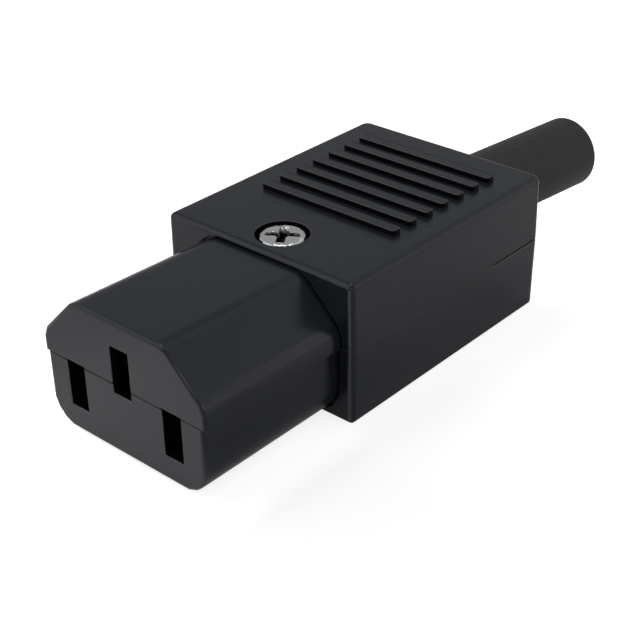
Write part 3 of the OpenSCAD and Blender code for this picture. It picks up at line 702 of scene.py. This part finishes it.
# Hidden screws get a lighter grid. Each cross stopped at a turn of its own, given in radians
for number, wire in enumerate(("line", "neutral", "earth")):
    made = pan_screw(f"{wire}_wire_screw", f"{wire}_terminal_screw", terminal_head_h, m3_r, m3_pitch,
                     0.6 + 0.9 * number, cols=96)
for number, side in enumerate(("left", "right")):
    made = pan_screw(f"clamp_screw_{side}", f"cord_clamp_screw_{side}", clamp_head_h, coarse_r,
                     coarse_pitch, 0.3 + 0.7 * number, cols=96)


# %% [markdown]
# ## The nut
# A hexagon nut is seen from below, in its pocket. Both faces are turned to a shallow cone, which
# leaves the curved edges on the flats that every nut shows. Its hexagon is a radius that depends on
# the turn, and its thread is the same wave as the one on the screw, a hair wider.

# %% Nut
nut_bore_r = m3_r + 0.03 * MM


def hex_radius(turn, apothem):
    """Distance from the axis to a hexagon with a flat at turn = 0: the distance to the flat over
    the cosine of the turn from the middle of that flat."""
    return apothem / np.cos((turn + np.pi / 6) % (np.pi / 3) - np.pi / 6)


def hex_nut():
    """Profile from the bore out over the upper face, down the flat, back over the lower face and up
    the bore. Both faces fall at 30 degrees beyond 95 % of the distance from the axis to a flat."""
    low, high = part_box("assembly_nut")
    centre = (low + high) / 2
    half = (high.z - low.z) / 2
    apothem = (high.x - low.x) / 2
    turn = np.linspace(0, 2 * np.pi, 192, endpoint=False)
    corner = hex_radius(turn, apothem)
    share = np.linspace(0, 1, 24)[:, None]
    face_r = nut_bore_r + (corner - nut_bore_r) * share
    face_z = half - np.maximum(0, face_r - 0.95 * apothem) * math.tan(math.radians(30))
    bore_z = np.linspace(-half, half, int(16 * half / m3_pitch))[1:-1, None] + 0 * turn
    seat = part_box("assembly_screw")[1].z - main_head_h
    bore = nut_bore_r - thread_depth(centre.z + bore_z - seat, turn, m3_pitch, 0.5 * m3_pitch)
    r = np.vstack([face_r, face_r[::-1], bore])
    z = np.vstack([face_z, -face_z[::-1], bore_z])
    points = np.stack([
        centre.x + r * np.cos(turn), centre.y + r * np.sin(turn), centre.z + z,
    ], -1)
    return piece("housing_nut", points)


nut = hex_nut()
smooth(nut, 30)
finish_with(nut, zinc)
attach(nut, "root")
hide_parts("assembly_nut")
print("nut encloses", round(volume(nut), 1), "cubic mm")


# %% [markdown]
# ## Floor and studio
# The connector lies on a paper sweep. The floor takes the shadow of the object, and it glows for
# the camera, so that it reads as white without more light on the object. Satin nylon mirrors the
# paper, and this sets the tone of every upright face. So the paper is pale in front, and shade is
# painted into it: a little greyer on the left, and mid grey on the right, where it gets lighter
# towards the rear, as beside a black flag in a studio. The world is a soft grey room, a little
# lighter at the horizon, and the camera sees it as plain white.

# %% Paper
# The front colour is the paper's own; the greyer ones are painted shade on the paper
front_paper, left_painted_shade = srgb("#e6e6e6"), srgb("#c8c8c8")
right_painted_shade, right_rear_painted_shade = srgb("#939393"), srgb("#b6b6b6")
glow_near, glow_far, glow_mirrored = 0.75, 1.0, 0.04


def white_sweep():
    """Paper with painted shade, graded along X and, on the right, along Y, each in a straight line
    between two places. It glows strongly for the camera, and faintly for rays that a mirror or glass
    sends."""
    material, tree, shader = new_material("white_paper_sweep")
    rays = node(tree, "ShaderNodeLightPath").outputs
    mirrored = node(tree, "ShaderNodeMath", {
        0: rays["Is Glossy Ray"], 1: rays["Is Transmission Ray"],
    }, operation="MAXIMUM")
    place = node(tree, "ShaderNodeTexCoord").outputs["Object"]
    spot = node(tree, "ShaderNodeSeparateXYZ", {"Vector": place}).outputs
    # Where the painted shade lies: on the left, on the right, and fading towards the rear on the right
    left_shade_share = node(tree, "ShaderNodeMapRange", {
        "Value": spot["X"], "From Min": -13 * MM, "From Max": -25 * MM,
    }).outputs["Result"]
    right_shade_share = node(tree, "ShaderNodeMapRange", {
        "Value": spot["X"], "From Min": 11 * MM, "From Max": 17 * MM,
    }).outputs["Result"]
    rear_share_of_right_shade = node(tree, "ShaderNodeMapRange", {
        "Value": spot["Y"], "From Min": -25 * MM, "From Max": 0,
    }).outputs["Result"]
    # Paper colour with the painted shade mixed in
    middle = node(tree, "ShaderNodeMix", {
        "Factor": left_shade_share, "A": front_paper, "B": left_painted_shade,
    }, data_type="RGBA").outputs["Result"]
    side = node(tree, "ShaderNodeMix", {
        "Factor": rear_share_of_right_shade, "A": right_painted_shade, "B": right_rear_painted_shade,
    }, data_type="RGBA").outputs["Result"]
    paper = node(tree, "ShaderNodeMix", {
        "Factor": right_shade_share, "A": middle, "B": side,
    }, data_type="RGBA")
    reflected = node(tree, "ShaderNodeMath", {
        0: mirrored.outputs[0], 1: glow_mirrored,
    }, operation="MULTIPLY").outputs[0]
    # The lamps light only the paper near the object, so the glow makes up for them farther out
    distance = node(tree, "ShaderNodeVectorMath", {0: place}, operation="LENGTH").outputs["Value"]
    shown = node(tree, "ShaderNodeMapRange", {
        "Value": distance, "From Min": 80 * MM, "From Max": 300 * MM,
        "To Min": glow_near, "To Max": glow_far,
    }).outputs["Result"]
    glow = node(tree, "ShaderNodeMath", {
        0: rays["Is Camera Ray"], 1: shown, 2: reflected,
    }, operation="MULTIPLY_ADD")
    tree.links.new(paper.outputs["Result"], shader.inputs["Base Color"])
    shader.inputs["Roughness"].default_value = 1.0
    shader.inputs["Specular IOR Level"].default_value = 0.0
    shader.inputs["Emission Color"].default_value = (1, 1, 1, 1)
    tree.links.new(glow.outputs[0], shader.inputs["Emission Strength"])
    return material


# %% Floor
floor_size = 6
bpy.ops.mesh.primitive_plane_add(size=floor_size)
floor = bpy.context.object
floor.name = "paper_floor"
finish_with(floor, white_sweep())
print("floor:", floor.name, floor_size, "m wide,", floor.active_material.name)

# %% World
horizon_level, ceiling_level = 0.42, 0.275
# Rise is the sine of the angle above the horizon
horizon_rise, ceiling_rise = 0.03, 0.35

world = bpy.data.worlds.new("soft_grey_room")
world.use_nodes = True
bpy.context.scene.world = world
tree = world.node_tree
tree.nodes.clear()
rays = node(tree, "ShaderNodeLightPath").outputs
direction = node(tree, "ShaderNodeTexCoord").outputs["Generated"]
rise = node(tree, "ShaderNodeSeparateXYZ", {"Vector": direction}).outputs["Z"]
room = node(tree, "ShaderNodeMapRange", {
    "Value": rise, "From Min": horizon_rise, "From Max": ceiling_rise,
    "To Min": horizon_level, "To Max": ceiling_level,
}).outputs["Result"]
level = node(tree, "ShaderNodeMix", {
    "Factor": rays["Is Camera Ray"], "A": room, "B": 1.0,
}, data_type="FLOAT")
background = node(tree, "ShaderNodeBackground", {
    "Color": (1, 1, 1, 1), "Strength": level.outputs[0],
})
node(tree, "ShaderNodeOutputWorld", {"Surface": background.outputs[0]})
print("world:", world.name, "from", horizon_level, "at the horizon to", ceiling_level, "above")


# %% [markdown]
# ## Lamps
# One large soft lamp stands on the left in front, high enough for a short shadow on the right, and
# a weaker one fills from the right. Both would show in the nylon as hard bright edges, so glossy
# skins do not see them. What they see is five large, dim panels: a window on the left in front, a
# small one near the camera, a strip overhead, and two behind the object that model the boot.

# %% Lamps
def towards(azimuth, elevation):
    """Direction from the object to this side, from two angles in degrees. Azimuth 0 is in front
    (-Y), and 90 is on the right (+X)."""
    a, e = math.radians(azimuth), math.radians(elevation)
    return Vector((math.sin(a) * math.cos(e), -math.cos(a) * math.cos(e), math.sin(e)))


def soft_lamp(name, azimuth, elevation, distance, size, strength):
    """Square area lamp on this side of the object, turned to it, with distance and size in metres.
    A white card at the object, facing the lamp, would look as bright as strength says."""
    back = towards(azimuth, elevation)
    data = bpy.data.lights.new(name, "AREA")
    data.size = size
    # The lamp's watts are shared out over pi times its distance squared, the card's over pi again
    data.energy = strength * math.pi * math.pi * distance**2
    lamp = bpy.data.objects.new(name, data)
    lamp.location = back * distance
    lamp.rotation_mode = "QUATERNION"
    lamp.rotation_quaternion = back.to_track_quat("Z", "Y")
    bpy.context.scene.collection.objects.link(lamp)
    return lamp


key = soft_lamp("key_softbox", -68, 48, distance=0.6, size=0.5, strength=0.62)
key.visible_glossy = False
fill = soft_lamp("fill_softbox", 85, 25, distance=0.6, size=0.5, strength=0.18)
fill.visible_glossy = False
soft_lamp("window_panel", -50, 32, distance=0.7, size=0.6, strength=0.12)
soft_lamp("camera_lamp", 32, 33, distance=0.6, size=0.16, strength=0.07)
soft_lamp("overhead_strip", -90, 84, distance=0.6, size=0.12, strength=0.1)
soft_lamp("rear_panel", 155, 46, distance=0.6, size=0.55, strength=0.05)
soft_lamp("side_panel", 132, 10, distance=0.6, size=0.5, strength=0.07)
print("lamps:", sorted(lamp.name for lamp in bpy.data.lights))

# %% [markdown]
# ## Camera
# A portrait lens of some 76 mm looks down at the nose from the right. The place is given as the point it
# aims at, its direction and its distance, which is how one would set up a tripod.

# %% Camera
aim = Vector((9.96, -20.752, 12.16)) * MM
view_azimuth, view_elevation, view_roll = 41.491, 30.604, -0.835
view_distance = 137 * MM
sensor_width, focal_length = 36, 75.703
camera_data = bpy.data.cameras.new("studio_camera")
camera_data.sensor_width = sensor_width
camera_data.lens = focal_length
camera_data.clip_start = 0.01
camera = bpy.data.objects.new("studio_camera", camera_data)
bpy.context.scene.collection.objects.link(camera)
back = towards(view_azimuth, view_elevation)
roll = Matrix.Rotation(math.radians(view_roll), 3, "Z").to_quaternion()
camera.rotation_mode = "QUATERNION"
camera.location = aim + back * view_distance
camera.rotation_quaternion = back.to_track_quat("Z", "Y") @ roll
bpy.context.scene.camera = camera
bpy.context.scene.view_settings.view_transform = "Standard"
print("camera at", [round(v / MM, 1) for v in camera.location], "mm, lens", focal_length, "mm")

# %% [markdown]
# ## Finish
# The view layer is updated once more.

# %% Finish
bpy.context.view_layer.update()
